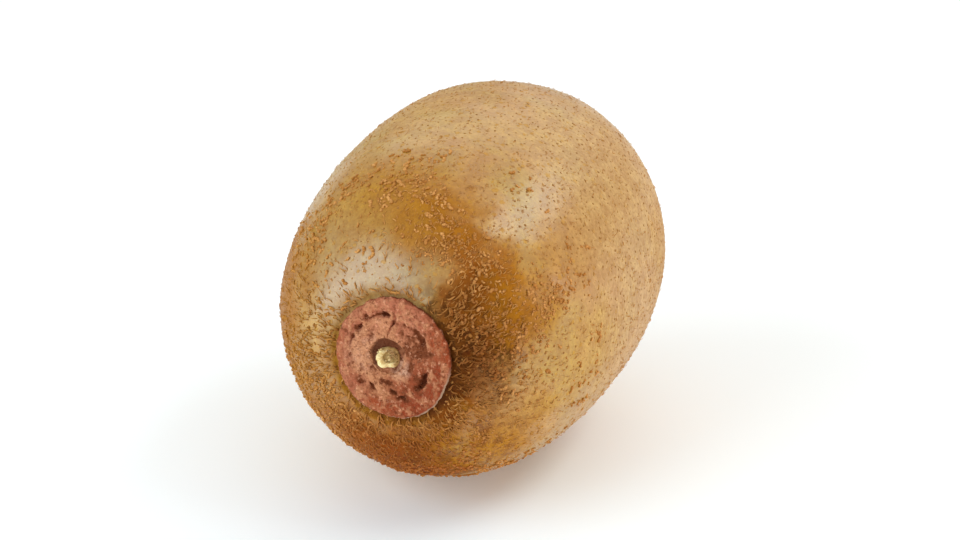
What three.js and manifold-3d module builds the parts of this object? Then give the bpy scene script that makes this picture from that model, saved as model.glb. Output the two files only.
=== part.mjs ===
// Golden kiwi fruit: one whole fruit lying on its side on a small flat spot.
// Millimetres, +Z up. The fruit's long axis runs along Y, and its stem end faces -Y.
// Four pieces: the fruit, the dried calyx at its stem end, the stub of the stalk
// in the calyx, and the dried styles at the blossom end.

import * as THREE from 'three';
import { mergeVertices } from 'three/addons/utils/BufferGeometryUtils.js';
import Module from 'manifold-3d';

const wasm = await Module();
wasm.setup();

// ---- Driving dimensions -------------------------------------------------

// Fruit: distances are from its widest section, and a fullness of 2 is an ellipse.
const stemLength = 37.2;
const blossomLength = 32.4;
const halfWidth = 24.6;
const halfHeight = 25.1;
const stemFullness = 2.5;
const blossomFullness = 2.37;
const flatDepth = 0.2;

// Soft swellings round the section: [waves round, height, angle of a crest, turn along Y].
const swellings = [
  [3, 0.0050, 0.6, 0.012],
  [5, 0.0026, 2.1, -0.010],
];

// Calyx: a corky disc with a thick rim, a lower middle and a hole for the stalk.
// In its own frame, heights are measured from the top of its rim.
const calyxRadius = 8.7;
const calyxOval = 1.03; // its height over its width
const calyxCentre = [0.0, -36.2, 1.5];
const calyxFacing = [-0.079, -0.995, 0.062];
const calyxProud = 0.75;
const calyxLeastThickness = 0.35;
const seatDepth = 1.0;
const seatSoftness = 0.45;
const rimInner = 6.15;
const rimRoundness = 1.5;
const rimChamfer = 0.12;
const rimNarrowing = 0.02;
const rimWaverGain = 0.38;
const middleDrop = 0.42;
const middleRipple = [0.12, 1.9]; // height, and its rate along the radius
const pitRadius = 2.7;
const pitOffset = [-0.8, 0.1];
const gap = 0.3;

// Waves of the rim's outline: [waves round, size, angle of a crest].
const rimWaves = [
  [2, 0.011, 25],
  [5, 0.009, 18],
];

// Cracks inside the rim: [middle angle, half its angle, radius, half its width, depth].
const cracks = [
  [100, 7, 6.05, 0.46, 0.70],
  [113, 13, 6.20, 0.32, 0.35],
  [126, 5, 6.75, 0.40, 0.50],
  [144, 7, 6.30, 0.42, 0.60],
  [161, 9, 6.40, 0.36, 0.38],
  [208, 18, 4.75, 0.38, 0.28],
  [239, 7, 5.25, 0.36, 0.36],
  [264, 13, 3.70, 0.38, 0.32],
  [275, 6, 4.70, 0.36, 0.50],
  [285, 6, 5.75, 0.34, 0.55],
  [331, 17, 5.40, 0.40, 0.80],
  [48, 24, 5.40, 0.40, 0.36],
  [83, 4, 4.90, 1.40, 0.38],
  [14, 6, 4.60, 1.10, 0.24],
  [204, 7, 4.30, 1.00, 0.22],
  [303, 6, 4.20, 1.00, 0.22],
];

// Clefts between the five sepals that grew into the rim: [angle, depth].
const clefts = [
  [52, 0.12],
  [158, 0.16],
  [222, 0.14],
  [300, 0.16],
  [15, 0.12],
];
const cleftHalfAngle = 4;
const cleftSpan = [5.5, 6.5]; // the radii over which a cleft begins

// Stalk stub: a short broken ring that stands in the calyx's hole, a little off its middle.
const stubRadius = 1.7;
const stubTop = -0.2;
const stubOffset = [-0.62, -0.2];
const stubTearDepth = 0.2;
const boreRadius = 0.75;
const boreDepth = 0.75;
const boreOffset = [0.3, 0.22];

// The stub's outline is pinched here and there: [waves round, depth, turn].
const stubPinches = [
  [2, 0.05, 0.8],
  [3.5, 0.04, 0],
];

// Styles: a tuft of dry threads on a pad in the dimple of the blossom end.
const dimpleRadius = 3.6;
const dimpleDepth = 0.9;
const padRadius = 2.0;
const padHeight = 0.9;
const padSink = 0.1;
const threadCount = 22;
const threadLength = [1.4, 2.4];
const threadRadius = 0.22;
const threadTaper = 0.55;
const threadLean = [8, 34];
const threadCurl = [-0.18, 0.32];
const threadTurn = 2.4; // radians from one thread to the next
const threadSeed = 7;

// Mesh fineness.
const ringsAlong = 42;
const stepsRound = 108;
const calyxSteps = 84;
const calyxFaceSteps = 20;
const stubSteps = 32;
const boreSteps = 24;
const padSteps = 28;

// Tools that cut: how far they reach past what they cut.
const cutterReach = 4;
const groundCutter = [100, 120, 10];

// ---- Helpers ------------------------------------------------------------

const rad = THREE.MathUtils.degToRad;

function seededRandom(seed) {
  let state = seed;
  return () => {
    state = (state * 1664525 + 1013904223) % 4294967296;
    return state / 4294967296;
  };
}

// A closed mesh with shared vertices becomes a solid that can be joined and cut.
function toSolid(geometry) {
  const plain = geometry.clone();
  plain.deleteAttribute('normal');
  plain.deleteAttribute('uv');
  const merged = mergeVertices(plain, 1e-4);
  return new wasm.Manifold(new wasm.Mesh({
    numProp: 3,
    vertProperties: new Float32Array(merged.attributes.position.array),
    triVerts: new Uint32Array(merged.index.array),
  }));
}

function toGeometry(solid) {
  const mesh = solid.getMesh();
  const geometry = new THREE.BufferGeometry();
  geometry.setAttribute('position', new THREE.BufferAttribute(mesh.vertProperties, 3));
  geometry.setIndex(new THREE.BufferAttribute(mesh.triVerts, 1));
  geometry.computeVertexNormals();
  return geometry;
}

// Moves every vertex of a geometry by a function of its place.
function reshape(geometry, move) {
  const position = geometry.attributes.position;
  const point = new THREE.Vector3();
  for (let i = 0; i < position.count; i += 1) {
    point.fromBufferAttribute(position, i);
    move(point);
    position.setXYZ(i, point.x, point.y, point.z);
  }
  return geometry;
}

// A solid turned from a profile of [radius, height] pairs round the Z axis.
function turned(profile, steps) {
  const points = profile.map(([radius, height]) => new THREE.Vector2(radius, height));
  return new THREE.LatheGeometry(points, steps).rotateX(Math.PI / 2);
}

function named(name, geometry, colour, roughness) {
  const material = new THREE.MeshStandardMaterial({ color: colour, roughness, metalness: 0 });
  const mesh = new THREE.Mesh(geometry, material);
  mesh.name = name;
  return mesh;
}

// The calyx's own frame: its Z axis points out of the fruit, and its Y axis points up.
const facing = new THREE.Vector3(...calyxFacing).normalize();
const calyxSide = new THREE.Vector3(0, 0, 1).cross(facing).normalize();
const calyxUp = new THREE.Vector3().crossVectors(facing, calyxSide).normalize();
const calyxFrame = new THREE.Matrix4()
  .makeBasis(calyxSide, calyxUp, facing)
  .setPosition(new THREE.Vector3(...calyxCentre));

// ---- Fruit --------------------------------------------------------------

// Half the width of the section at a place along the axis, from -1 (stem) to 1 (blossom).
function sectionSize(place) {
  const fullness = place < 0 ? stemFullness : blossomFullness;
  return Math.max(0, 1 - Math.abs(place) ** fullness) ** (1 / fullness);
}

// The skin flattens softly to the plane that the calyx sits on.
function pressFlatUnderCalyx(point) {
  const seat = new THREE.Vector3(...calyxCentre).addScaledVector(facing, -calyxProud);
  const beyond = point.clone().sub(seat).dot(facing);
  const kept = -seatSoftness * Math.log(1 + Math.exp(-beyond / seatSoftness));
  if (point.y < 0) point.addScaledVector(facing, kept - beyond);
}

// The skin dips round the dry styles.
function dimpleBlossomEnd(point) {
  const reach = Math.hypot(point.x, point.z) / dimpleRadius;
  if (point.y > 0) point.y -= dimpleDepth * Math.exp(-reach * reach);
}

function fruitGeometry() {
  const profile = [];
  for (let ring = 0; ring <= ringsAlong; ring += 1) {
    const place = -Math.cos((Math.PI * ring) / ringsAlong);
    const along = place * (place < 0 ? stemLength : blossomLength);
    profile.push([ring === 0 || ring === ringsAlong ? 0 : sectionSize(place), along]);
  }
  // The lathe's axis is Z here, and the turn brings it to Y.
  const body = turned(profile, stepsRound).rotateX(-Math.PI / 2);
  return reshape(body, (point) => {
    const angle = Math.atan2(point.z, point.x);
    let swell = 1;
    for (const [waves, height, crest, turn] of swellings) {
      swell += height * Math.cos(waves * (angle - crest) + turn * waves * point.y);
    }
    point.x *= halfWidth * swell;
    point.z *= halfHeight * swell;
    pressFlatUnderCalyx(point);
    dimpleBlossomEnd(point);
  });
}

function fruit() {
  let solid = toSolid(fruitGeometry());

  // The shallow seat of the calyx.
  const seatRadius = calyxRadius + gap;
  const seat = new THREE.CylinderGeometry(seatRadius, seatRadius, cutterReach, calyxSteps)
    .rotateX(Math.PI / 2)
    .scale(1, calyxOval, 1)
    .translate(0, 0, cutterReach / 2 - calyxProud - seatDepth)
    .applyMatrix4(calyxFrame);
  solid = solid.subtract(toSolid(seat));

  // The seat of the pad that carries the styles.
  const padSeat = new THREE.CylinderGeometry(padRadius + gap, padRadius + gap, cutterReach, padSteps)
    .translate(0, padPlace + cutterReach / 2 - gap, 0);
  solid = solid.subtract(toSolid(padSeat));

  // The flat spot that the fruit rests on.
  const flatSpot = solid.boundingBox().min[2] + flatDepth;
  const ground = new THREE.BoxGeometry(...groundCutter)
    .translate(0, 0, flatSpot - groundCutter[2] / 2);
  return toGeometry(solid.subtract(toSolid(ground)));
}

// ---- Calyx --------------------------------------------------------------

const calyxBottom = -calyxProud - seatDepth + gap;

// The height of the calyx's upper face over a radius, before the cracks.
function calyxHeight(radius) {
  const [ripple, rate] = middleRipple;
  const middle = -middleDrop - ripple * Math.cos((radius - pitRadius) * rate);
  const rimMiddle = (calyxRadius + rimInner) / 2;
  const rimHalf = (calyxRadius - rimInner) / 2;
  const across = (radius - rimMiddle) / rimHalf;
  const rim = -middleDrop * rimRoundness * Math.abs(across) ** 3;
  return radius < rimMiddle ? Math.max(middle, rim) : rim;
}

// How far a crack or a cleft lowers the face at a radius and an angle.
function crackDepth(radius, angle) {
  const apart = (a, b) => Math.abs(THREE.MathUtils.euclideanModulo(a - b + 180, 360) - 180);
  let depth = 0;
  for (const [middle, halfAngle, place, halfWide, deep] of cracks) {
    const along = apart(angle, middle) / halfAngle;
    const across = (radius - place) / halfWide;
    depth += deep * Math.exp(-(along ** 4) - across * across);
  }
  for (const [middle, deep] of clefts) {
    const along = apart(angle, middle) / cleftHalfAngle;
    depth += deep * THREE.MathUtils.smoothstep(radius, ...cleftSpan) * Math.exp(-along * along);
  }
  return depth;
}

// A closed turned body whose upper face falls from the rim's crest to the hole.
function calyxBlank() {
  const edge = calyxRadius - rimChamfer;
  const profile = [
    [pitRadius, calyxBottom],
    [calyxRadius, calyxBottom],
    [calyxRadius, -middleDrop * 2],
  ];
  for (let step = 0; step <= calyxFaceSteps; step += 1) {
    const radius = edge - ((edge - pitRadius) * step) / calyxFaceSteps;
    profile.push([radius, calyxHeight(radius)]);
  }
  profile.push([pitRadius, calyxBottom]);
  return turned(profile, calyxSteps);
}

function calyx() {
  const onFace = (point, radius) => point.z > calyxBottom + 0.01 && radius < calyxRadius - 0.01;
  return reshape(calyxBlank(), (point) => {
    const radius = Math.hypot(point.x, point.y);
    const angle = THREE.MathUtils.radToDeg(Math.atan2(point.y, point.x));
    if (onFace(point, radius)) {
      const most = point.z - calyxBottom - calyxLeastThickness;
      point.z -= Math.min(crackDepth(radius, angle), most);
    }
    // The rim wavers a little, and never past its radius.
    let waver = -rimNarrowing;
    for (const [waves, size, crest] of rimWaves) {
      waver += size * Math.cos(rad(waves * (angle - crest)));
    }
    const spread = 1 + Math.max(0, radius - rimInner) * waver * rimWaverGain;
    // The hole lies off the disc's middle.
    const shift = 1 - THREE.MathUtils.smoothstep(radius, pitRadius, rimInner);
    point.x = point.x * spread + pitOffset[0] * shift;
    point.y = (point.y * spread + pitOffset[1] * shift) * calyxOval;
  }).applyMatrix4(calyxFrame);
}

// ---- Stalk stub ---------------------------------------------------------

// A short knob whose outline is pinched and whose top is torn unevenly.
function stubKnob() {
  const knob = turned([
    [0, calyxBottom],
    [stubRadius * 0.96, calyxBottom],
    [stubRadius, calyxBottom + 0.5],
    [stubRadius * 0.97, stubTop - 0.35],
    [stubRadius * 0.84, stubTop - 0.08],
    [stubRadius * 0.62, stubTop],
    [0, stubTop + 0.06],
  ], stubSteps);
  return reshape(knob, (point) => {
    const angle = Math.atan2(point.y, point.x);
    let outline = 1;
    for (const [waves, depth, turn] of stubPinches) {
      outline -= depth * Math.cos(waves * angle + turn) ** 2;
    }
    point.x *= outline;
    point.y *= outline;
    if (point.z > stubTop - stubTearDepth) {
      point.z -= stubTearDepth * Math.sin(angle) ** 2;
    }
  });
}

function stalkStub() {
  const above = stubTop + boreDepth;
  const bore = turned([
    [0, stubTop - boreDepth],
    [boreRadius * 0.7, stubTop - boreDepth * 0.92],
    [boreRadius, stubTop - boreDepth * 0.5],
    [boreRadius * 1.15, above],
    [0, above],
  ], boreSteps).translate(...boreOffset, 0);
  return toGeometry(toSolid(stubKnob()).subtract(toSolid(bore)))
    .translate(...stubOffset, 0)
    .applyMatrix4(calyxFrame);
}

// ---- Styles -------------------------------------------------------------

// The pad's underside lies just over the bottom of the dimple.
const padPlace = blossomLength - dimpleDepth - padSink;

// One dry thread, standing on the origin along +Y, thinning and curling as it rises.
function threadGeometry(length, curl) {
  const tip = threadRadius * threadTaper;
  const thread = new THREE.CylinderGeometry(tip, threadRadius, length, 5, 4);
  thread.translate(0, length / 2, 0);
  return reshape(thread, (point) => {
    const rise = point.y / length;
    point.x += curl * rise * rise;
  });
}

function styles() {
  const random = seededRandom(threadSeed);
  const between = ([low, high]) => low + (high - low) * random();
  const pad = turned([
    [0, 0],
    [padRadius * 0.9, 0],
    [padRadius, 0.25],
    [padRadius * 0.85, padHeight * 0.7],
    [padRadius * 0.5, padHeight],
    [0, padHeight * 0.8],
  ], padSteps).rotateX(-Math.PI / 2);
  let solid = toSolid(pad);
  for (let i = 0; i < threadCount; i += 1) {
    // Threads stand in a spiral, the outer ones leaning furthest out.
    const outward = Math.sqrt((i + 0.5) / threadCount);
    const thread = threadGeometry(between(threadLength), between(threadCurl))
      .rotateZ(-rad(THREE.MathUtils.lerp(...threadLean, outward)))
      .translate(padRadius * 0.72 * outward, padHeight * 0.35, 0)
      .rotateY(threadTurn * i + 0.3 * random());
    solid = solid.add(toSolid(thread));
  }
  return toGeometry(solid).translate(0, padPlace, 0);
}

// ---- The whole ----------------------------------------------------------

const kiwi = new THREE.Group();
kiwi.add(
  named('fruit', fruit(), 0xb98446, 0.45),
  named('calyx', calyx(), 0xa8643f, 0.9),
  named('stalk_stub', stalkStub(), 0xd8bd84, 0.8),
  named('styles', styles(), 0x33231a, 0.9),
);

// The origin is under the middle of the whole fruit, on the plane that it rests on.
const box = new THREE.Box3().setFromObject(kiwi);
const middle = box.getCenter(new THREE.Vector3());
kiwi.position.set(-middle.x, -middle.y, -box.min.z);

export default kiwi;
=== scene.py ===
import math
import random

import bpy
from mathutils import Matrix, Vector, noise


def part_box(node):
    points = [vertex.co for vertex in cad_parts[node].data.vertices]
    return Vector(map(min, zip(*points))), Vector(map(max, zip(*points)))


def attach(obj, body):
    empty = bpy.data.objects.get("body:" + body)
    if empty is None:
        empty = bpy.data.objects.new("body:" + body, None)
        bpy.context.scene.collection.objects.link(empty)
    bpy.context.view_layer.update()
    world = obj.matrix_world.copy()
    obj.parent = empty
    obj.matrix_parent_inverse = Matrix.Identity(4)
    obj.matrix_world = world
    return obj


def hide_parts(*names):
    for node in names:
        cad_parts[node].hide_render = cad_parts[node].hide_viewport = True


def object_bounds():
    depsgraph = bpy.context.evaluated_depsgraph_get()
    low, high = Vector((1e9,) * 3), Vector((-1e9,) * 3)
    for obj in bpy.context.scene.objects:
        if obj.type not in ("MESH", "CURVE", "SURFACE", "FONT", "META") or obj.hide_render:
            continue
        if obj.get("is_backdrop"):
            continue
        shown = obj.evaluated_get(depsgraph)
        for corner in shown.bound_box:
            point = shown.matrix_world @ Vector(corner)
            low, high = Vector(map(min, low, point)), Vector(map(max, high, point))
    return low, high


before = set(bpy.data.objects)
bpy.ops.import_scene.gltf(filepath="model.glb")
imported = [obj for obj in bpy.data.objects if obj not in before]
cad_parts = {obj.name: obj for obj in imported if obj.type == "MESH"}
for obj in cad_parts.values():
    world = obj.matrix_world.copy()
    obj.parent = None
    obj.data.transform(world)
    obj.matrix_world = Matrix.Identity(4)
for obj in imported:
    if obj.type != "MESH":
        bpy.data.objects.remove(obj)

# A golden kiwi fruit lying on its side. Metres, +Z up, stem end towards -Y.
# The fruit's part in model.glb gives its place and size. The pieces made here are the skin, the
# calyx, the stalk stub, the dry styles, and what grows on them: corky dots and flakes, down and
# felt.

CAD_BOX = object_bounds()
MM = 0.001


# ---- Driving dimensions ----------------------------------

# Fruit, measured from its widest section. A fullness of 2 is an ellipse.
STEM_LENGTH = 37.2 * MM
BLOSSOM_LENGTH = 32.4 * MM
HALF_WIDTH = 24.6 * MM
HALF_HEIGHT = 25.1 * MM
STEM_FULLNESS = 2.5
BLOSSOM_FULLNESS = 2.37
# Soft swellings round the section: (waves round, height, angle of a crest, turn per metre).
SWELLINGS = ((3, 0.0050, 0.6, 12), (5, 0.0026, 2.1, -10))
DIMPLE_RADIUS = 3.6 * MM
DIMPLE_DEPTH = 0.9 * MM

# Calyx, in its own frame: Z points out of the fruit, Y up, and 0 is the top of its rim.
CALYX_RADIUS = 8.7 * MM
CALYX_OVAL = 1.03
CALYX_CENTRE = Vector((0.0, -36.2, 1.5)) * MM
CALYX_FACING = Vector((-0.079, -0.995, 0.062)).normalized()
CALYX_PROUD = 0.75 * MM
CALYX_BOTTOM = -1.45 * MM
SEAT_SOFTNESS = 0.45 * MM
SEAT_SINK = 1.1 * MM
RIM_INNER = 6.15 * MM
RIM_FALL = (0.33 * MM, 0.68 * MM)  # from its crest to its inner and its outer edge
MIDDLE_DROP = 0.42 * MM
PIT_RADIUS = 2.7 * MM
PIT_OFFSET = Vector((-0.8, 0.1, 0)) * MM

# Cracks inside the rim: (middle angle, half its angle, radius, half its width, depth),
# in degrees and millimetres.
CRACKS = (
    (100, 7, 6.05, 0.46, 0.80), (113, 13, 6.20, 0.28, 0.40),
    (126, 5, 6.75, 0.40, 0.55), (144, 7, 6.30, 0.38, 0.65),
    (161, 9, 6.40, 0.30, 0.42), (208, 18, 4.75, 0.34, 0.30),
    (239, 7, 5.25, 0.32, 0.40), (264, 13, 3.70, 0.34, 0.36),
    (275, 6, 4.70, 0.30, 0.55), (285, 6, 5.75, 0.26, 0.60),
    (331, 17, 5.40, 0.34, 0.95), (48, 24, 5.40, 0.36, 0.40),
    (87, 2.6, 4.70, 2.00, 0.50), (14, 6, 4.60, 1.10, 0.26),
    (204, 7, 4.30, 1.00, 0.24), (303, 6, 4.20, 1.00, 0.24),
)
# Clefts between the sepals that grew into the rim: (angle, depth in millimetres).
CLEFTS = ((52, 0.12), (158, 0.16), (222, 0.14), (300, 0.16), (15, 0.12))
CLEFT_HALF_ANGLE = 3.0
CRACK_SEED = 1795485918  # for their ragged edges

# Stalk stub.
STUB_RADIUS = 1.7 * MM
STUB_TOP = -0.2 * MM
STUB_OFFSET = Vector((-0.62, -0.2, 0)) * MM

# Styles at the blossom end.
PAD_RADIUS = 2.0 * MM
THREAD_COUNT = 60

# What grows on the surfaces: the least distance between two or how many to a square metre,
# and the smallest and largest size.
DOT_SPACING = 0.86 * MM
DOT_SIZES = (0.11 * MM, 0.30 * MM)
FLAKE_SPACING = 0.78 * MM
FLAKE_SIZES = ((0.25 * MM, 0.70 * MM), (0.25 * MM, 0.58 * MM))
CROWDED = 1.5 / MM ** 2
CURL_DENSITY = 1.0 / MM ** 2
CURL_SIZES = (0.3 * MM, 0.9 * MM)
DOWN_DENSITY = 2.4 / MM ** 2
DOWN_SIZES = (0.35 * MM, 1.1 * MM)
FELT_DENSITY = 6 / MM ** 2
FELT_SIZES = (0.14 * MM, 0.34 * MM)
FLOOR_GAP = 0.02 * MM  # that the skin keeps from the floor
HIGHLIGHT_TINT_EDGE = 2 * MM  # that the skin's painted highlight tint reaches past its bare places


# ---- Helpers ---------------------------------------------

def start_object_mode():
    if bpy.context.object and bpy.context.object.mode != 'OBJECT':
        bpy.ops.object.mode_set(mode='OBJECT')
    bpy.ops.object.select_all(action='DESELECT')


def make_active(piece):
    start_object_mode()
    piece.select_set(True)
    bpy.context.view_layer.objects.active = piece


def newest(name):
    """The piece just added, named."""
    piece = bpy.context.object
    piece.name = piece.data.name = name
    return piece


def finish_with(piece, kind, **settings):
    """Adds a modifier and applies it."""
    make_active(piece)
    modifier = piece.modifiers.new(kind.title(), kind)
    for key, value in settings.items():
        setattr(modifier, key, value)
    bpy.ops.object.modifier_apply(modifier=modifier.name)


def refine(piece, levels):
    finish_with(piece, 'SUBSURF', levels=levels, render_levels=levels)


def roughen(piece, name, size, strength, depth):
    """Pushes the surface in and out along its normals by a cloudy texture."""
    texture = bpy.data.textures.new(name, 'CLOUDS')
    texture.noise_scale = size
    texture.noise_depth = depth
    finish_with(piece, 'DISPLACE', texture=texture, strength=strength, mid_level=0.5,
                texture_coords='LOCAL')


def move_points(piece, move):
    """Sets every vertex to what a function makes of its place."""
    for vertex in piece.data.vertices:
        vertex.co = move(vertex.co)
    piece.data.update()


def keep(piece, name, values):
    """Keeps a number for every vertex, for materials and growths to read."""
    piece.data.attributes.new(name, 'FLOAT', 'POINT').data.foreach_set("value", values)


def store(piece, name, measure):
    keep(piece, name, [measure(vertex.co) for vertex in piece.data.vertices])


def copy_of(piece):
    copy = piece.copy()
    copy.data = piece.data.copy()
    bpy.context.scene.collection.objects.link(copy)
    return copy


def smooth_step(value, low, high):
    part = min(1.0, max(0.0, (value - low) / (high - low)))
    return part * part * (3 - 2 * part)


def ring_piece(name, sides, profile):
    """A closed turned body: rings of (radius, height), the first and last closed at the axis."""
    start_object_mode()
    radius, height = profile[0]
    bpy.ops.mesh.primitive_circle_add(vertices=sides, radius=radius, fill_type='TRIFAN',
                                      location=(0, 0, height))
    piece = newest(name)
    bpy.ops.object.transform_apply()
    bpy.ops.object.mode_set(mode='EDIT')
    bpy.ops.mesh.select_mode(type='VERT')
    bpy.ops.mesh.select_all(action='DESELECT')
    bpy.ops.object.mode_set(mode='OBJECT')
    for vertex in piece.data.vertices:
        vertex.select = vertex.co.xy.length > radius / 2
    bpy.ops.object.mode_set(mode='EDIT')
    for next_radius, next_height in profile[1:]:
        bpy.ops.mesh.extrude_edges_move(
            TRANSFORM_OT_translate={"value": (0, 0, next_height - height)})
        grow = next_radius / radius
        bpy.ops.transform.resize(value=(grow, grow, 1), center_override=(0, 0, next_height))
        radius, height = next_radius, next_height
    bpy.ops.mesh.edge_face_add()
    bpy.ops.mesh.poke()
    bpy.ops.mesh.select_all(action='SELECT')
    bpy.ops.mesh.normals_make_consistent(inside=False)
    bpy.ops.object.mode_set(mode='OBJECT')
    return piece


def dress(piece, finish, replaced=()):
    piece.data.materials.clear()
    piece.data.materials.append(finish)
    make_active(piece)
    bpy.ops.object.shade_smooth()
    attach(piece, "root")
    if replaced:
        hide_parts(*replaced)


# ---- Places ----------------------------------------------

def calyx_matrix(centre):
    side = Vector((0, 0, 1)).cross(CALYX_FACING).normalized()
    up = CALYX_FACING.cross(side).normalized()
    turn = Matrix((side, up, CALYX_FACING)).transposed()
    return Matrix.Translation(centre) @ turn.to_4x4()


OWN_CALYX = calyx_matrix(CALYX_CENTRE)
OWN_CALYX_BACK = OWN_CALYX.inverted()


def skin_point(direction):
    """Where the bare skin lies in a direction from the middle of the widest section."""
    place = direction.y
    stem_side = place < 0
    fullness = STEM_FULLNESS if stem_side else BLOSSOM_FULLNESS
    length = STEM_LENGTH if stem_side else BLOSSOM_LENGTH
    size = max(0.0, 1 - abs(place) ** fullness) ** (1 / fullness)
    angle = math.atan2(direction.z, direction.x)
    along = length * place
    swell = 1.0
    for waves, height, crest, turn in SWELLINGS:
        swell += height * math.cos(waves * (angle - crest) + turn * waves * along)
    point = Vector((HALF_WIDTH * size * swell * math.cos(angle), along,
                    HALF_HEIGHT * size * swell * math.sin(angle)))
    return press_flat(point) if stem_side else dimple(point)


def press_flat(point):
    """The stem end flattens softly under the calyx, with a collar round it and a crease at it."""
    local = OWN_CALYX_BACK @ point
    beyond = local.z + CALYX_PROUD
    if beyond / SEAT_SOFTNESS > -30:
        local.z += -SEAT_SOFTNESS * math.log(1 + math.exp(-beyond / SEAT_SOFTNESS)) - beyond
    out = math.hypot(local.x, local.y / CALYX_OVAL) - CALYX_RADIUS
    local.z -= SEAT_SINK * (1 - smooth_step(out, -2 * MM, -0.6 * MM))
    local.z += 0.16 * MM * math.exp(-((out - 1.9 * MM) / (1.3 * MM)) ** 2)
    local.z -= 0.34 * MM * math.exp(-((out + 0.05 * MM) / (0.6 * MM)) ** 2)
    return OWN_CALYX @ local


def dimple(point):
    reach = math.hypot(point.x, point.z) / DIMPLE_RADIUS
    point.y -= DIMPLE_DEPTH * math.exp(-reach * reach)
    return point


# ---- Skin ------------------------------------------------

def make_skin():
    """A cube rounded to a ball, then moved out to the fruit's form. Returns it and its shift."""
    start_object_mode()
    bpy.ops.mesh.primitive_cube_add(size=2)
    skin = newest("skin")
    bpy.ops.object.mode_set(mode='EDIT')
    bpy.ops.mesh.select_all(action='SELECT')
    bpy.ops.mesh.subdivide(number_cuts=15)
    bpy.ops.object.mode_set(mode='OBJECT')
    # Equal steps of angle from the middle, so that the faces are alike all over.
    move_points(skin, lambda co: Vector([math.tan(c * math.pi / 4) for c in co]).normalized())
    refine(skin, 3)
    move_points(skin, lambda co: skin_point(co.normalized()))

    low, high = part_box("fruit")
    own = [vertex.co for vertex in skin.data.vertices]
    own_low = Vector([min(co[i] for co in own) for i in range(3)])
    own_high = Vector([max(co[i] for co in own) for i in range(3)])
    shift = Vector(((low.x + high.x - own_low.x - own_high.x) / 2,
                    high.y - own_high.y, high.z - own_high.z))
    skin.data.transform(Matrix.Translation(shift))
    return skin, shift


# ---- Calyx -----------------------------------------------

def apart(a, b):
    """The angle between two angles, in degrees."""
    return abs((a - b + 180) % 360 - 180)


def face_height(radius):
    """The height of the calyx's face, before its cracks."""
    middle = -MIDDLE_DROP - 0.12 * MM * math.cos((radius - PIT_RADIUS) / MM * 1.9)
    rim_middle = (CALYX_RADIUS + RIM_INNER) / 2
    across = (radius - rim_middle) / ((CALYX_RADIUS - RIM_INNER) / 2)
    rim = -RIM_FALL[across > 0] * abs(across) ** 3
    return max(middle, rim) if radius < rim_middle else rim


def crack_depth(local):
    """How deep the cracks and clefts are at a place on the face, with ragged edges."""
    wander = noise.noise_vector(local * 900) * 0.28 + noise.noise_vector(local * 2600) * 0.14
    radius = local.xy.length / MM + wander.x
    angle = math.degrees(math.atan2(local.y, local.x)) + wander.y * 9
    depth = 0.0
    for middle, half_angle, place, half_wide, deep in CRACKS:
        along = apart(angle, middle) / half_angle
        across = (radius - place) / half_wide
        depth += deep * math.exp(-along ** 4 - across ** 2 * (1 + along ** 2))
    for middle, deep in CLEFTS:
        along = apart(angle, middle) / CLEFT_HALF_ANGLE
        depth += deep * smooth_step(radius, 5.2, 6.6) * math.exp(-along ** 2)
    return depth * MM


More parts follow.
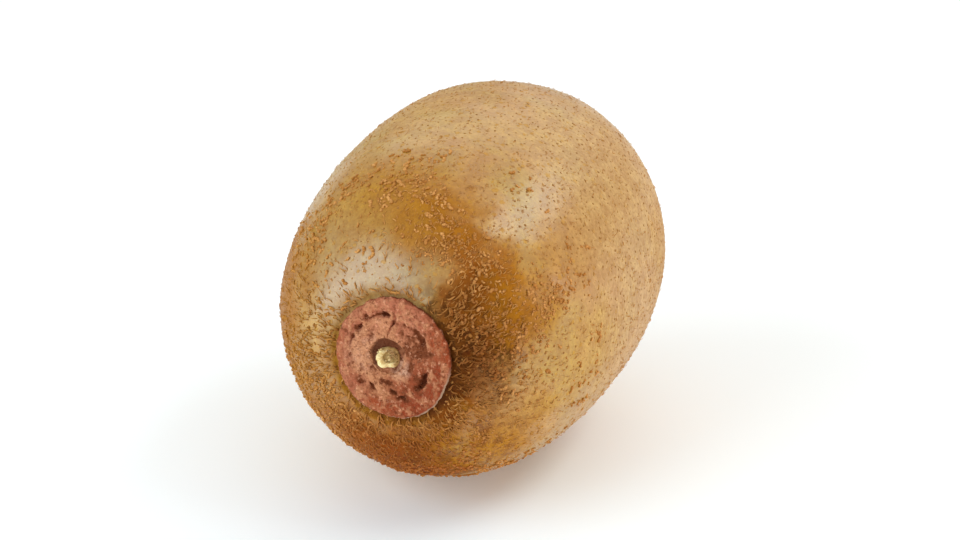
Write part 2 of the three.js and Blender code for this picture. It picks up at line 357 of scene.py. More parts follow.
def make_calyx(placed):
    """The corky disc: rings out along its underside, up its edge and in over its face."""
    noise.seed_set(CRACK_SEED)
    face_rings = 19
    edge = CALYX_RADIUS - 0.12 * MM
    profile = [(2 * MM, CALYX_BOTTOM), (CALYX_RADIUS * 0.7, CALYX_BOTTOM),
               (CALYX_RADIUS * 0.985, CALYX_BOTTOM), (CALYX_RADIUS, -0.95 * MM)]
    for step in range(face_rings + 1):
        radius = edge - (edge - PIT_RADIUS) * step / face_rings
        profile.append((radius, face_height(radius)))
    profile += [(PIT_RADIUS * 0.93, -0.75 * MM), (PIT_RADIUS * 0.9, -1.15 * MM),
                (PIT_RADIUS * 0.5, -1.2 * MM)]
    calyx = ring_piece("calyx_disc", 96, profile)
    refine(calyx, 2)

    def weather(co):
        radius = co.xy.length
        angle = math.atan2(co.y, co.x)
        if co.z > -1.1 * MM and radius > PIT_RADIUS * 0.96:
            co = co - Vector((0, 0, min(crack_depth(co), co.z + 1.25 * MM)))
            # The middle is not level: it sags to the right of the hole and swells to its left.
            inside = 1 - smooth_step(radius, 5.6 * MM, 7.6 * MM)
            lumps = 0.42 * noise.noise(co * 430) + 0.3 * noise.noise(co * 900)
            co.z += MM * lumps * (0.3 + 0.7 * inside) - 0.12 * MM * inside * co.x / RIM_INNER
        waver = 0.011 * math.sin(2 * angle + 0.7) + 0.009 * math.sin(5 * angle)
        waver += 0.012 * noise.noise(Vector((math.cos(angle), math.sin(angle), 0)) * 3.2)
        spread = 1 + max(0, radius - RIM_INNER) * (waver - 0.02) * 380
        inward = 1 - smooth_step(radius, PIT_RADIUS, RIM_INNER)
        shifted = Vector((co.x * spread, co.y * spread, co.z)) + PIT_OFFSET * inward
        return Vector((shifted.x, shifted.y * CALYX_OVAL, shifted.z))

    def pale_wall(co):
        """The edge is paler low down at its right and underside."""
        if co.xy.length <= RIM_INNER:
            return 0
        side = (0.6 * co.x - 1.6 * co.y) / co.xy.length
        return smooth_step(-co.z, 0.25 * MM, 0.7 * MM) * smooth_step(side, 0.3, 1.2)

    def painted_hole_shadow(co):
        """Painted shadow in the hole, darkest at its upper left, where the stub stands away from
        its wall.
        """
        radius = co.xy.length
        side = smooth_step((co.y - co.x) / radius, -1.0, 0.6)
        return smooth_step(PIT_RADIUS + 0.1 * MM - radius, 0.0, 0.6 * MM) * (0.3 + 0.7 * side)

    store(calyx, "crack", lambda co: crack_depth(co) / MM if co.z > -1.1 * MM else 0)
    store(calyx, "rim", lambda co: smooth_step(co.xy.length, 5.6 * MM, 6.8 * MM))
    store(calyx, "wall", pale_wall)
    store(calyx, "hole_shadow", painted_hole_shadow)
    levels = [face_height(v.co.xy.length) if v.co.xy.length > PIT_RADIUS else -1 * MM
              for v in calyx.data.vertices]
    move_points(calyx, weather)
    roughen(calyx, "cork_lumps", 1.1 * MM, 0.5 * MM, depth=2)
    roughen(calyx, "cork_crumbs", 0.3 * MM, 0.24 * MM, depth=2)
    # Height against the face, for the painted shade in its low places.
    keep(calyx, "relief", [smooth_step(v.co.z - level, -0.4 * MM, 0.2 * MM)
                           for v, level in zip(calyx.data.vertices, levels)])
    calyx.data.transform(placed)
    return calyx


# ---- Stalk stub ------------------------------------------

def make_stub(placed):
    """A short torn tube with a thick wall, a curl of fibre in its hollow and loose ends."""
    draw = random.Random(3)
    r = STUB_RADIUS
    profile = [(0.5 * r, -1.3 * MM), (0.94 * r, -1.3 * MM), (0.97 * r, -1.0 * MM),
               (0.93 * r, -0.7 * MM), (0.86 * r, -0.4 * MM), (0.76 * r, STUB_TOP),
               (0.62 * r, STUB_TOP), (0.5 * r, -0.4 * MM), (0.44 * r, -0.7 * MM),
               (0.32 * r, -0.85 * MM), (0.2 * r, -0.8 * MM), (0.08 * r, -0.75 * MM)]
    stub = ring_piece("stalk_stub_torn", 32, profile)
    refine(stub, 2)

    def tear(co):
        angle = math.atan2(co.y, co.x)
        high = smooth_step(co.z, -1.0 * MM, -0.2 * MM)
        # The wall stands highest at the lower left and is torn away at the upper right.
        tilt = 0.36 * math.cos(angle - math.radians(225)) - 0.1
        round_place = Vector((math.cos(angle), math.sin(angle), 0.3))
        ragged = 0.40 * noise.noise(round_place * 1.6) + 0.24 * noise.noise(round_place * 4.3)
        co = co + Vector((0, 0, (tilt + ragged) * MM * high))
        squeeze = 1 + 0.22 * noise.noise(round_place * 1.3) + 0.08 * noise.noise(round_place * 4.1)
        lean = Vector((0.16, 0.2, 0)) * MM * high * (co.xy.length < 0.7 * r)
        return Vector((co.x * squeeze * 1.08, co.y * squeeze * 0.9, co.z)) + lean

    move_points(stub, tear)
    fibre = make_thread("fibre", 5, lambda t: (0.25 * math.sin(2.6 * t), 0.1 * t, 0.9 * t),
                        [0.13, 0.15, 0.13, 0.10, 0.04])
    pieces = [stub]
    for index in range(16):
        # Loose ends stand along the torn side of the wall; the last ones curl in the hollow.
        inner = index > 11
        angle = math.radians(draw.uniform(30, 165) if index % 4 else draw.uniform(0, 360))
        out = r * (0.2 if inner else draw.uniform(0.66, 0.84))
        size = MM * draw.uniform(0.8, 1.25)
        place = Matrix.Translation((out * math.cos(angle), out * math.sin(angle), -0.85 * MM))
        lean = Matrix.Rotation(draw.uniform(-0.6, 0.6), 4, 'X')
        copy = copy_of(fibre)
        copy.data.transform(place @ Matrix.Rotation(draw.uniform(0, 6), 4, 'Z') @ lean
                            @ Matrix.Scale(size, 4))
        pieces.append(copy)
    bpy.data.objects.remove(fibre)
    stub = join(pieces, "stalk_stub_torn")
    store(stub, "hollow_shade", lambda co: smooth_step(-co.z, 0.34 * MM, 0.66 * MM))
    store(stub, "torn", lambda co: smooth_step((co.x + co.y) / r, -0.3, 1.0))
    roughen(stub, "stub_fibres", 0.25 * MM, 0.1 * MM, depth=2)
    stub.data.transform(placed @ Matrix.Translation(STUB_OFFSET))
    return stub


# ---- Styles ----------------------------------------------

def make_thread(name, sides, path, radii):
    """A thread closed at both ends. path gives its middle line, from 0 at its foot to 1."""
    start_object_mode()
    bpy.ops.mesh.primitive_circle_add(vertices=sides, radius=radii[0], fill_type='NGON')
    thread = newest(name)
    bpy.ops.object.mode_set(mode='EDIT')
    bpy.ops.mesh.select_all(action='SELECT')
    step = 1 / (len(radii) - 1)
    for index in range(1, len(radii)):
        bpy.ops.mesh.extrude_region_move(TRANSFORM_OT_translate={"value": (0, 0, step)})
        grow = radii[index] / radii[index - 1]
        bpy.ops.transform.resize(value=(grow, grow, 1), center_override=(0, 0, index * step))
    bpy.ops.mesh.select_all(action='SELECT')
    bpy.ops.mesh.normals_make_consistent(inside=False)
    bpy.ops.object.mode_set(mode='OBJECT')

    def bend(co):
        here, ahead = Vector(path(co.z)), Vector(path(co.z + 0.01))
        along = (ahead - here).normalized()
        return here + along.to_track_quat('Z', 'Y') @ Vector((co.x, co.y, 0))

    move_points(thread, bend)
    return thread


def make_grain(name, shape, lumps=0.5, place=0.0):
    """A lumpy grain about 2 across, squeezed to a shape."""
    start_object_mode()
    bpy.ops.mesh.primitive_ico_sphere_add(subdivisions=1, radius=1)
    grain = newest(name)
    move_points(grain, lambda co: co * (1 + lumps * noise.noise(co * 1.7 + Vector((place, 0, 0)))))
    grain.data.transform(Matrix.Diagonal(shape + (1,)))
    return grain


def make_scab(name, seed):
    """A flake of dry cork about 2 across: lumpy grains in a bent row."""
    draw = random.Random(seed)
    grains = []
    for index in range(3):
        grain = make_grain(name, (0.58, 0.48, 0.44), lumps=0.6, place=seed + 5 * index)
        grain.data.transform(Matrix.Translation((0.52 * (index - 1), draw.uniform(-0.35, 0.35), 0))
                             @ Matrix.Rotation(draw.uniform(-0.9, 0.9), 4, 'Z')
                             @ Matrix.Scale(draw.uniform(0.6, 1.1), 4))
        grains.append(grain)
    return join(grains, name)


def join(pieces, name):
    make_active(pieces[0])
    for piece in pieces:
        piece.select_set(True)
    bpy.ops.object.join()
    pieces[0].name = pieces[0].data.name = name
    return pieces[0]


def make_styles(shift):
    """The pad in the dimple, and dry threads that stand and curl out of it."""
    draw = random.Random(7)
    r = PAD_RADIUS
    pad = ring_piece("styles_tuft", 40, [
        (0.5 * r, -0.2 * MM), (0.95 * r, -0.1 * MM), (r, 0.25 * MM), (0.85 * r, 0.65 * MM),
        (0.62 * r, 0.9 * MM), (0.35 * r, 0.8 * MM), (0.12 * r, 0.7 * MM)])
    refine(pad, 1)
    roughen(pad, "pad_lumps", 0.6 * MM, 0.3 * MM, depth=1)
    thread = make_thread("thread", 6, lambda t: (0.12 * math.sin(5 * t), 0.4 * t ** 2.4, t),
                         [0.075, 0.07, 0.062, 0.058, 0.052, 0.05, 0.055, 0.03])
    threads = []
    for i in range(THREAD_COUNT):
        outward = math.sqrt((i + 0.5) / THREAD_COUNT)
        copy = copy_of(thread)
        length = draw.uniform(1.2, 2.3) * MM
        width = draw.uniform(1.5, 2.4) * MM / length
        lean = math.radians(2 + 26 * outward + draw.uniform(-10, 10))
        size = Matrix.Diagonal((length * width, length * (0.7 + 0.5 * draw.random()), length, 1))
        twist = Matrix.Rotation(draw.uniform(-0.9, 0.9), 4, 'Z')
        stand = Matrix.Translation((0, r * 0.78 * outward, 0.3 * MM))
        around = Matrix.Rotation(2.4 * i + 0.4 * draw.random(), 4, 'Z')
        copy.data.transform(around @ stand @ Matrix.Rotation(-lean, 4, 'X') @ twist @ size)
        threads.append(copy)
    bpy.data.objects.remove(thread)
    tuft = join([pad] + threads, "styles_tuft")
    # The tuft's Z axis turns to +Y, and its foot sinks into the dimple.
    foot = Vector((0, BLOSSOM_LENGTH - DIMPLE_DEPTH - 0.15 * MM, 0)) + shift
    tuft.data.transform(Matrix.Translation(foot) @ Matrix.Rotation(-math.pi / 2, 4, 'X'))
    return tuft


# ---- What grows on the surfaces --------------------------

def scatter(name, ground, template, seed, density, amount, size, tilt, turn=math.pi,
            spacing=None, comb_from=None, grow=""):
    """Copies of a template stand on a piece at seeded places, as one real mesh.

    amount and grow name numbers stored on the ground that scale how many stand and how big.
    """
    bpy.ops.mesh.primitive_plane_add()
    piece = newest(name)
    tree = bpy.data.node_groups.new(name + "_scatter", 'GeometryNodeTree')
    tree.interface.new_socket('Geometry', in_out='INPUT', socket_type='NodeSocketGeometry')
    tree.interface.new_socket('Geometry', in_out='OUTPUT', socket_type='NodeSocketGeometry')

    def random_value(kind, low, high, offset):
        value = add(tree, 'FunctionNodeRandomValue', data_type=kind)
        pair = [s for s in value.inputs if s.enabled and s.name in ('Min', 'Max')]
        pair[0].default_value, pair[1].default_value = low, high
        value.inputs['Seed'].default_value = seed * 10 + offset
        return next(s for s in value.outputs if s.enabled)

    def stored(attribute):
        return add(tree, 'GeometryNodeInputNamedAttribute', {'Name': attribute},
                   data_type='FLOAT').outputs[0]

    surface = add(tree, 'GeometryNodeObjectInfo', {'Object': ground}).outputs['Geometry']
    shape = add(tree, 'GeometryNodeObjectInfo', {'Object': template}).outputs['Geometry']
    method = 'POISSON' if spacing else 'RANDOM'
    points = add(tree, 'GeometryNodeDistributePointsOnFaces', {'Mesh': surface, 'Seed': seed},
                 distribute_method=method)
    if spacing:
        points.inputs['Distance Min'].default_value = spacing
        points.inputs['Density Max'].default_value = density
        link(tree, stored(amount), points.inputs['Density Factor'])
    else:
        link(tree, times(tree, stored(amount), density), points.inputs['Density'])
    tone = add(tree, 'GeometryNodeStoreNamedAttribute',
               {'Geometry': points.outputs['Points'], 'Name': "tone"},
               data_type='FLOAT', domain='POINT')
    link(tree, random_value('FLOAT', 0.0, 1.0, 1),
         next(s for s in tone.inputs if s.enabled and s.name == 'Value'))

    heading = points.outputs['Rotation']
    if comb_from is not None:
        place = add(tree, 'GeometryNodeInputPosition').outputs[0]
        away = vector(tree, 'SUBTRACT', place, comb_from)
        heading = add(tree, 'FunctionNodeAlignRotationToVector',
                      {'Rotation': heading, 'Vector': away}, axis='Y', pivot_axis='Z').outputs[0]
    sway = random_value('FLOAT_VECTOR', (-tilt, -tilt, -turn), (tilt, tilt, turn), 2)
    swung = add(tree, 'FunctionNodeEulerToRotation', {'Euler': sway}).outputs[0]
    heading = add(tree, 'FunctionNodeRotateRotation', {'Rotation': heading, 'Rotate By': swung},
                  rotation_space='LOCAL').outputs[0]
    scale = random_value('FLOAT', size[0], size[1], 3)
    if grow:
        scale = times(tree, scale, stored(grow))
    copies = add(tree, 'GeometryNodeInstanceOnPoints',
                 {'Points': tone.outputs['Geometry'], 'Instance': shape, 'Rotation': heading,
                  'Scale': scale})
    real = add(tree, 'GeometryNodeRealizeInstances', {'Geometry': copies.outputs['Instances']})
    out = tree.nodes.new('NodeGroupOutput')
    link(tree, real.outputs['Geometry'], out.inputs[0])
    finish_with(piece, 'NODES', node_group=tree)
    print(name, "triangles:", sum(len(p.vertices) - 2 for p in piece.data.polygons))
    return piece


# ---- Material building -----------------------------------

def link(tree, value, socket):
    if isinstance(value, bpy.types.NodeSocket):
        tree.links.new(value, socket)
    else:
        socket.default_value = value


def add(tree, kind, inputs=None, **settings):
    made = tree.nodes.new(kind)
    for key, value in settings.items():
        setattr(made, key, value)
    for socket, value in (inputs or {}).items():
        link(tree, value, made.inputs[socket])
    return made


def object_place(tree):
    return add(tree, 'ShaderNodeTexCoord').outputs['Object']


def reads(tree, name):
    """A number stored on the piece."""
    return add(tree, 'ShaderNodeAttribute', attribute_name=name).outputs['Fac']


def band(tree, value, low, high, start=0.0, end=1.0):
    """Rises softly from start to end while the value goes from low to high."""
    return add(tree, 'ShaderNodeMapRange',
               {'Value': value, 'From Min': low, 'From Max': high, 'To Min': start, 'To Max': end},
               interpolation_type='SMOOTHSTEP').outputs['Result']


def calculate(tree, operation, a, b):
    return add(tree, 'ShaderNodeMath', {0: a, 1: b}, operation=operation).outputs[0]


def times(tree, a, b):
    return calculate(tree, 'MULTIPLY', a, b)


def mix(tree, share, a, b, mode='MIX'):
    made = add(tree, 'ShaderNodeMix', data_type='RGBA', blend_type=mode)
    for index, value in ((0, share), (6, a), (7, b)):
        if isinstance(value, tuple) and len(value) == 3:
            value = value + (1,)
        link(tree, value, made.inputs[index])
    return made.outputs[2]


def new_group(name, inputs, outputs):
    tree = bpy.data.node_groups.new(name, 'ShaderNodeTree')
    for socket, default in inputs.items():
        kind = 'NodeSocketVector' if isinstance(default, tuple) else 'NodeSocketFloat'
        made = tree.interface.new_socket(socket, in_out='INPUT', socket_type=kind)
        made.default_value = default
    for socket in outputs:
        tree.interface.new_socket(socket, in_out='OUTPUT', socket_type='NodeSocketFloat')
    return tree, tree.nodes.new('NodeGroupInput').outputs, tree.nodes.new('NodeGroupOutput').inputs


def vector(tree, operation, a, b):
    return add(tree, 'ShaderNodeVectorMath', {0: a, 1: b}, operation=operation).outputs[0]


def stirred(tree, place, scale, reach):
    """A place pushed about by noise, up to half of reach each way."""
    cloud = add(tree, 'ShaderNodeTexNoise', {'Vector': place, 'Scale': scale, 'Detail': 1.0})
    bent = vector(tree, 'SUBTRACT', cloud.outputs['Color'], (0.5, 0.5, 0.5))
    push = add(tree, 'ShaderNodeVectorMath', {0: bent, 'Scale': reach},
               operation='SCALE').outputs[0]
    return vector(tree, 'ADD', place, push)


def grain_group():
    """Uneven tone that repeats nowhere: broad patches and fine grain."""
    tree, given, out = new_group("Grain", {'Size': 10 * MM, 'Detail': 3.0, 'Streak': 0.0},
                                 ('Tone', 'Height'))
    place = object_place(tree)
    scale = calculate(tree, 'DIVIDE', 1.0, given['Size'])
    moved = stirred(tree, place, scale, given['Streak'])
    cloud = add(tree, 'ShaderNodeTexNoise', {'Vector': moved, 'Scale': scale,
                                             'Detail': given['Detail'], 'Roughness': 0.6})
    link(tree, band(tree, cloud.outputs[0], 0.3, 0.7), out['Tone'])
    link(tree, cloud.outputs[0], out['Height'])
    return tree


def dots_group():
    """Small round dots, each of its own size, some of them missing."""
    tree, given, out = new_group("Dots", {'Spacing': 1 * MM, 'Size': 0.3, 'Share': 0.7,
                                          'Ragged': 0.05 * MM}, ('Mask',))
    place = object_place(tree)
    scale = calculate(tree, 'DIVIDE', 1.0, given['Spacing'])
    moved = stirred(tree, place, times(tree, scale, 4.0), given['Ragged'])
    cells = add(tree, 'ShaderNodeTexVoronoi', {'Vector': moved, 'Scale': scale, 'Randomness': 0.9})
    own = add(tree, 'ShaderNodeSeparateColor', {'Color': cells.outputs['Color']})
    size = times(tree, given['Size'], band(tree, own.outputs[1], 0.0, 1.0, 0.55, 1.25))
    inside = band(tree, cells.outputs['Distance'], times(tree, size, 0.45), size, 1.0, 0.0)
    kept = calculate(tree, 'LESS_THAN', own.outputs[0], given['Share'])
    link(tree, times(tree, inside, kept), out['Mask'])
    return tree


def zone_group():
    """A patch round a point, 1 at its middle, with a soft uneven edge."""
    tree, given, out = new_group("Zone", {'Centre': (0.0, 0.0, 0.0), 'Inner': 10 * MM,
                                          'Outer': 20 * MM, 'Uneven': 4 * MM}, ('Mask',))
    place = object_place(tree)
    away = add(tree, 'ShaderNodeVectorMath', {0: place, 1: given['Centre']},
               operation='DISTANCE').outputs['Value']
    cloud = add(tree, 'ShaderNodeTexNoise', {'Vector': place, 'Scale': 170.0, 'Detail': 3.0})
    shift = times(tree, calculate(tree, 'SUBTRACT', cloud.outputs[0], 0.5), given['Uneven'])
    reach = calculate(tree, 'ADD', away, shift)
    link(tree, band(tree, reach, given['Inner'], given['Outer'], 1.0, 0.0), out['Mask'])
    return tree


GRAIN = grain_group()
DOTS = dots_group()
ZONE = zone_group()


def use(tree, group, **values):
    """A node group placed in a material with its own values."""
    made = tree.nodes.new('ShaderNodeGroup')
    made.node_tree = group
    for name, value in values.items():
        made.inputs[name.title()].default_value = value
    return made.outputs


def patch(tree, place, inner, outer, uneven):
    """1 round a place and 0 away from it."""
    return use(tree, ZONE, centre=tuple(place), inner=inner, outer=outer, uneven=uneven)['Mask']


def stained(tree, colour, stains, uneven):
    """A colour with patches of others: (place, inner and outer radius, share, colour)."""
    for place, inner, outer, share, stain in stains:
        mask = patch(tree, place, inner, outer, uneven)
        colour = mix(tree, times(tree, mask, share), colour, stain)
    return colour


def tint(tree, colour, value, other, most=1.0, low=0.0, high=1.0):
    """Brings in another colour, up to most of it, while a value goes from low to high."""
    return mix(tree, band(tree, value, low, high, 0.0, most), colour, other)


def to_shader(tree, socket, value):
    link(tree, value, tree.nodes['Principled BSDF'].inputs[socket])


def new_material(name, colour, roughness, **constants):
    material = bpy.data.materials.new(name)
    material.use_nodes = True
    tree = material.node_tree
    to_shader(tree, 'Base Color', colour + (1,))
    to_shader(tree, 'Roughness', roughness)
    for socket, value in constants.items():
        to_shader(tree, socket.replace("_", " ").title().replace("Ior", "IOR"), value)
    return material, tree


def covered(material, colour, height, relief):
    """A material with its colour, and bumps as high as relief."""
    tree = material.node_tree
    to_shader(tree, 'Base Color', colour)
    bumps = add(tree, 'ShaderNodeBump', {'Height': height, 'Distance': relief, 'Strength': 1.0})
    to_shader(tree, 'Normal', bumps.outputs['Normal'])
    return material


# ---- Finishes --------------------------------------------

def skin_finish(tone_and_light_patches, blossom_place, highlight_tint, scurf_shade, pored_place):
    """Thin waxy skin: gold, olive and bronze patches, browner and matt at both ends, with painted
    shade beside and under the calyx and in the groove round it, a painted highlight tint on the
    bare shoulder and a painted reflection low at its right.
    """
    material, tree = new_material("golden_skin", (0.45, 0.22, 0.06), 0.5,
                                  specular_ior_level=0.05, coat_roughness=0.33, coat_ior=1.75,
                                  sheen_weight=0.02, sheen_roughness=0.5,
                                  sheen_tint=(1.0, 0.80, 0.58, 1.0))
    patches = use(tree, GRAIN, size=20 * MM, detail=3.0, streak=10 * MM)['Tone']
    olive = use(tree, GRAIN, size=13 * MM, detail=2.0, streak=6 * MM)['Tone']
    mottle = use(tree, GRAIN, size=2.2 * MM, detail=4.0)['Tone']
    grain = use(tree, GRAIN, size=0.5 * MM, detail=2.0)
    colour = mix(tree, patches, (0.54, 0.225, 0.020), (0.60, 0.31, 0.040))
    colour = tint(tree, colour, olive, (0.47, 0.26, 0.012), 0.7, low=0.4)
    colour = mix(tree, times(tree, reads(tree, "flaked"), 0.4), colour, (0.34, 0.10, 0.008))
    # Painted highlight: a pale grey tint over the bare shoulder above the calyx.
    colour = stained(tree, colour, highlight_tint, 10 * MM)
    wax = 1.0
    # Russet patches, partly painted shade beside and under the calyx, and one painted reflection;
    # each dulls the wax.
    for place, inner, outer, share, (brown, dulling) in tone_and_light_patches:
        tone_and_light_mask = patch(tree, place, inner, outer, 14 * MM)
        colour = mix(tree, times(tree, tone_and_light_mask, share), colour, brown)
        dull = calculate(tree, 'MINIMUM', times(tree, tone_and_light_mask, dulling), 1.0)
        wax = times(tree, wax, calculate(tree, 'SUBTRACT', 1.0, dull))
    colour = stained(tree, colour, [(blossom_place, 2 * MM, 12 * MM, 0.7, (0.18, 0.07, 0.02))],
                     8 * MM)
    colour = tint(tree, colour, mottle, (0.32, 0.10, 0.008), 0.35)
    scurf_shade_grain = use(tree, GRAIN, size=1.6 * MM, detail=3.0, streak=1 * MM)['Tone']
    # Painted shade: grainy dark patches beside and under the calyx.
    for place, inner, outer, share, brown in scurf_shade:
        mask = patch(tree, place, inner, outer, 10 * MM)
        dark = times(tree, band(tree, scurf_shade_grain, 0.35, 0.9, 0.0, share), mask)
        colour = mix(tree, dark, colour, brown)
    colour = tint(tree, colour, grain['Tone'], (0.24, 0.08, 0.01), 0.22)
    pored = patch(tree, pored_place, 7 * MM, 24 * MM, 10 * MM)
    pores = use(tree, DOTS, spacing=1.05 * MM, size=0.32, share=0.8, ragged=0.6 * MM)['Mask']
    pores = times(tree, pores, pored)
    colour = mix(tree, times(tree, pores, 0.6), colour, (0.30, 0.12, 0.04))
    specks = use(tree, DOTS, spacing=1.25 * MM, size=0.34, share=0.85, ragged=0.5 * MM)['Mask']
    dust = use(tree, DOTS, spacing=0.55 * MM, size=0.34, share=0.7, ragged=0.12 * MM)['Mask']
    matt = calculate(tree, 'MAXIMUM', specks, times(tree, dust, 0.5))
    shown = times(tree, matt, band(tree, wax, 0.0, 1.0, 0.1, 0.5))
    colour = mix(tree, shown, colour, (0.58, 0.28, 0.06))
    # Painted shade in the groove round the calyx, darkest at its right.
    crease_shade_mask = reads(tree, "crease_shade")
    colour = mix(tree, times(tree, crease_shade_mask, 0.7), colour, (0.09, 0.022, 0.003))
    wax = times(tree, wax, band(tree, matt, 0.0, 1.0, 1.0, 0.25))
    wax = times(tree, wax, band(tree, pores, 0.0, 1.0, 1.0, 0.2))
    wax = times(tree, wax, band(tree, crease_shade_mask, 0.02, 0.3, 1.0, 0.0))
    to_shader(tree, 'Coat Weight', wax)
    to_shader(tree, 'Roughness', band(tree, grain['Tone'], 0.0, 1.0, 0.45, 0.6))
    height = calculate(tree, 'ADD', times(tree, matt, 0.6), grain['Height'])
    return covered(material, colour, height, 0.12 * MM)


def dot_finish(calyx_place):
    """Dry and matt, paler than the skin near the stem end and like it elsewhere."""
    material, tree = new_material("corky_dots", (0.55, 0.30, 0.11), 0.75,
                                  specular_ior_level=0.2)
    grain = use(tree, GRAIN, size=0.4 * MM, detail=2.0)
    stem = patch(tree, calyx_place, 12 * MM, 36 * MM, 12 * MM)
    dark = mix(tree, stem, (0.34, 0.14, 0.03), (0.34, 0.12, 0.015))
    light = mix(tree, stem, (0.52, 0.27, 0.08), (0.52, 0.22, 0.055))
    colour = mix(tree, reads(tree, "tone"), dark, light)
    colour = tint(tree, colour, grain['Tone'], (0.30, 0.12, 0.02), 0.25)
    return covered(material, colour, grain['Height'], 0.05 * MM)


def flake_finish(browned_and_shaded, shade_place):
    """Dry tan scabs, with painted light on their tops and painted shade at their red brown roots,
    darkest beside the calyx.
    """
    material, tree = new_material("corky_flakes", (0.75, 0.44, 0.22), 0.6,
                                  specular_ior_level=0.12)
    grain = use(tree, GRAIN, size=0.4 * MM, detail=2.0)
    light = mix(tree, reads(tree, "tone"), (0.46, 0.17, 0.030), (0.80, 0.38, 0.115))
    light = tint(tree, light, grain['Tone'], (0.42, 0.17, 0.04), 0.3)
    # Painted shade: the roots are darker beside the calyx.
    shade_zone = patch(tree, shade_place, 8 * MM, 18 * MM, 10 * MM)
    root = mix(tree, shade_zone, (0.34, 0.115, 0.010), (0.16, 0.036, 0.003))
    # Painted light on the tops and painted shade at the roots.
    colour = stained(tree, mix(tree, reads(tree, "lit_top"), root, light), browned_and_shaded, 8 * MM)
    return covered(material, colour, grain['Height'], 0.05 * MM)


def down_finish(name, dark, light, browned_and_shaded=()):
    """Dull threads, each of its own tone."""
    material, tree = new_material(name, light, 0.6, specular_ior_level=0.1)
    grain = use(tree, GRAIN, size=3 * MM, detail=2.0)['Tone']
    tone = calculate(tree, 'MULTIPLY_ADD', reads(tree, "tone"), 0.7)
    colour = mix(tree, calculate(tree, 'ADD', tone, times(tree, grain, 0.3)), dark, light)
    # Browner, partly painted shade, beside and under the calyx.
    to_shader(tree, 'Base Color', stained(tree, colour, browned_and_shaded, 8 * MM))
    return material


def cork_finish(cork_tones_and_light):
    """Dry felted cork: terracotta, paler on its lumps, with a painted highlight at its upper left,
    painted shade at its lower right and in its cracks, low places and hole, and grey at its edge.
    """
    material, tree = new_material("calyx_cork", (0.38, 0.13, 0.06), 0.9,
                                  specular_ior_level=0.2)
    lumps = use(tree, GRAIN, size=1.6 * MM, detail=3.0)['Tone']
    crumbs = use(tree, GRAIN, size=0.34 * MM, detail=3.0)
    pale = use(tree, DOTS, spacing=0.64 * MM, size=0.36, share=0.6, ragged=0.8 * MM)['Mask']
    dark = use(tree, DOTS, spacing=0.78 * MM, size=0.38, share=0.75, ragged=0.8 * MM)['Mask']
    relief = reads(tree, "relief")
    colour = mix(tree, reads(tree, "rim"), (0.50, 0.182, 0.080), (0.345, 0.060, 0.017))
    colour = tint(tree, colour, lumps, (0.47, 0.17, 0.075), 0.5, low=0.2)
    # Painted highlight at the upper left, painted shade at the lower right, and a torn pale patch.
    colour = stained(tree, colour, cork_tones_and_light, 3 * MM)
    # Painted shade where the face lies low, and paler where it stands high.
    colour = tint(tree, colour, relief, (0.17, 0.038, 0.010), low=0.45, high=0.0)
    colour = tint(tree, colour, relief, (0.60, 0.25, 0.115), 0.7, low=0.6)
    colour = tint(tree, colour, crumbs['Tone'], (0.22, 0.055, 0.018), 0.5, low=0.35)
    colour = mix(tree, times(tree, dark, 0.8), colour, (0.16, 0.034, 0.010))
    colour = mix(tree, times(tree, pale, 0.6), colour, (0.78, 0.34, 0.19))
    colour = tint(tree, colour, reads(tree, "wall"), (0.50, 0.34, 0.22), 0.8)
    # Painted shade in the cracks, darker as they deepen.
    colour = tint(tree, colour, reads(tree, "crack"), (0.12, 0.022, 0.005), low=0.3, high=0.75)
    # Painted shadow in the hole.
    colour = tint(tree, colour, reads(tree, "hole_shadow"), (0.13, 0.030, 0.009), 0.9)
    return covered(material, colour, crumbs['Height'], 0.14 * MM)


def stub_finish():
    """Pale straw fibres, browner where they are torn, with painted shade in the hollow."""
    material, tree = new_material("dry_stalk", (0.72, 0.56, 0.28), 0.75)
    fibres = use(tree, GRAIN, size=0.3 * MM, detail=3.0, streak=0.2 * MM)
    colour = mix(tree, fibres['Tone'], (1.0, 0.82, 0.42), (0.78, 0.50, 0.18))
    colour = mix(tree, times(tree, reads(tree, "torn"), 0.75), colour, (0.42, 0.19, 0.06))
    # Painted shade in the hollow.
    colour = tint(tree, colour, reads(tree, "hollow_shade"), (0.38, 0.20, 0.045), 0.75)
    return covered(material, colour, fibres['Height'], 0.1 * MM)


def styles_finish():
    """Almost black threads."""
    material, tree = new_material("dry_styles", (0.04, 0.02, 0.01), 0.7)
    grain = use(tree, GRAIN, size=0.7 * MM, detail=3.0)
    colour = mix(tree, grain['Tone'], (0.018, 0.009, 0.005), (0.12, 0.06, 0.03))
    return covered(material, colour, grain['Height'], 0.1 * MM)


# ---- The fruit -------------------------------------------

skin, SHIFT = make_skin()
CALYX_PLACE = CALYX_CENTRE + SHIFT
PLACED = calyx_matrix(CALYX_PLACE)
FROM_CALYX = PLACED.inverted()
BLOSSOM_PLACE = Vector((0, BLOSSOM_LENGTH, 0)) + SHIFT

roughen(skin, "skin_hollows", 11 * MM, 0.22 * MM, depth=1)
roughen(skin, "skin_pebbles", 1.5 * MM, 0.05 * MM, depth=1)
move_points(skin, lambda co: Vector((co.x, co.y, max(co.z, FLOOR_GAP))))


def beside_calyx(x, y, z):
    """A place so many millimetres from the calyx, along the frame's axes."""
    return CALYX_PLACE + Vector((x, y, z)) * MM


def over_calyx(x, y, z):
    """The same in the calyx's own frame."""
    return PLACED @ (Vector((x, y, z)) * MM)


def in_metres(place_of, rows):
    """Patches (middle, inner and outer radius, and more), turned from millimetres."""
    return [(place_of(*middle), inner * MM, outer * MM, *more)
            for middle, inner, outer, *more in rows]


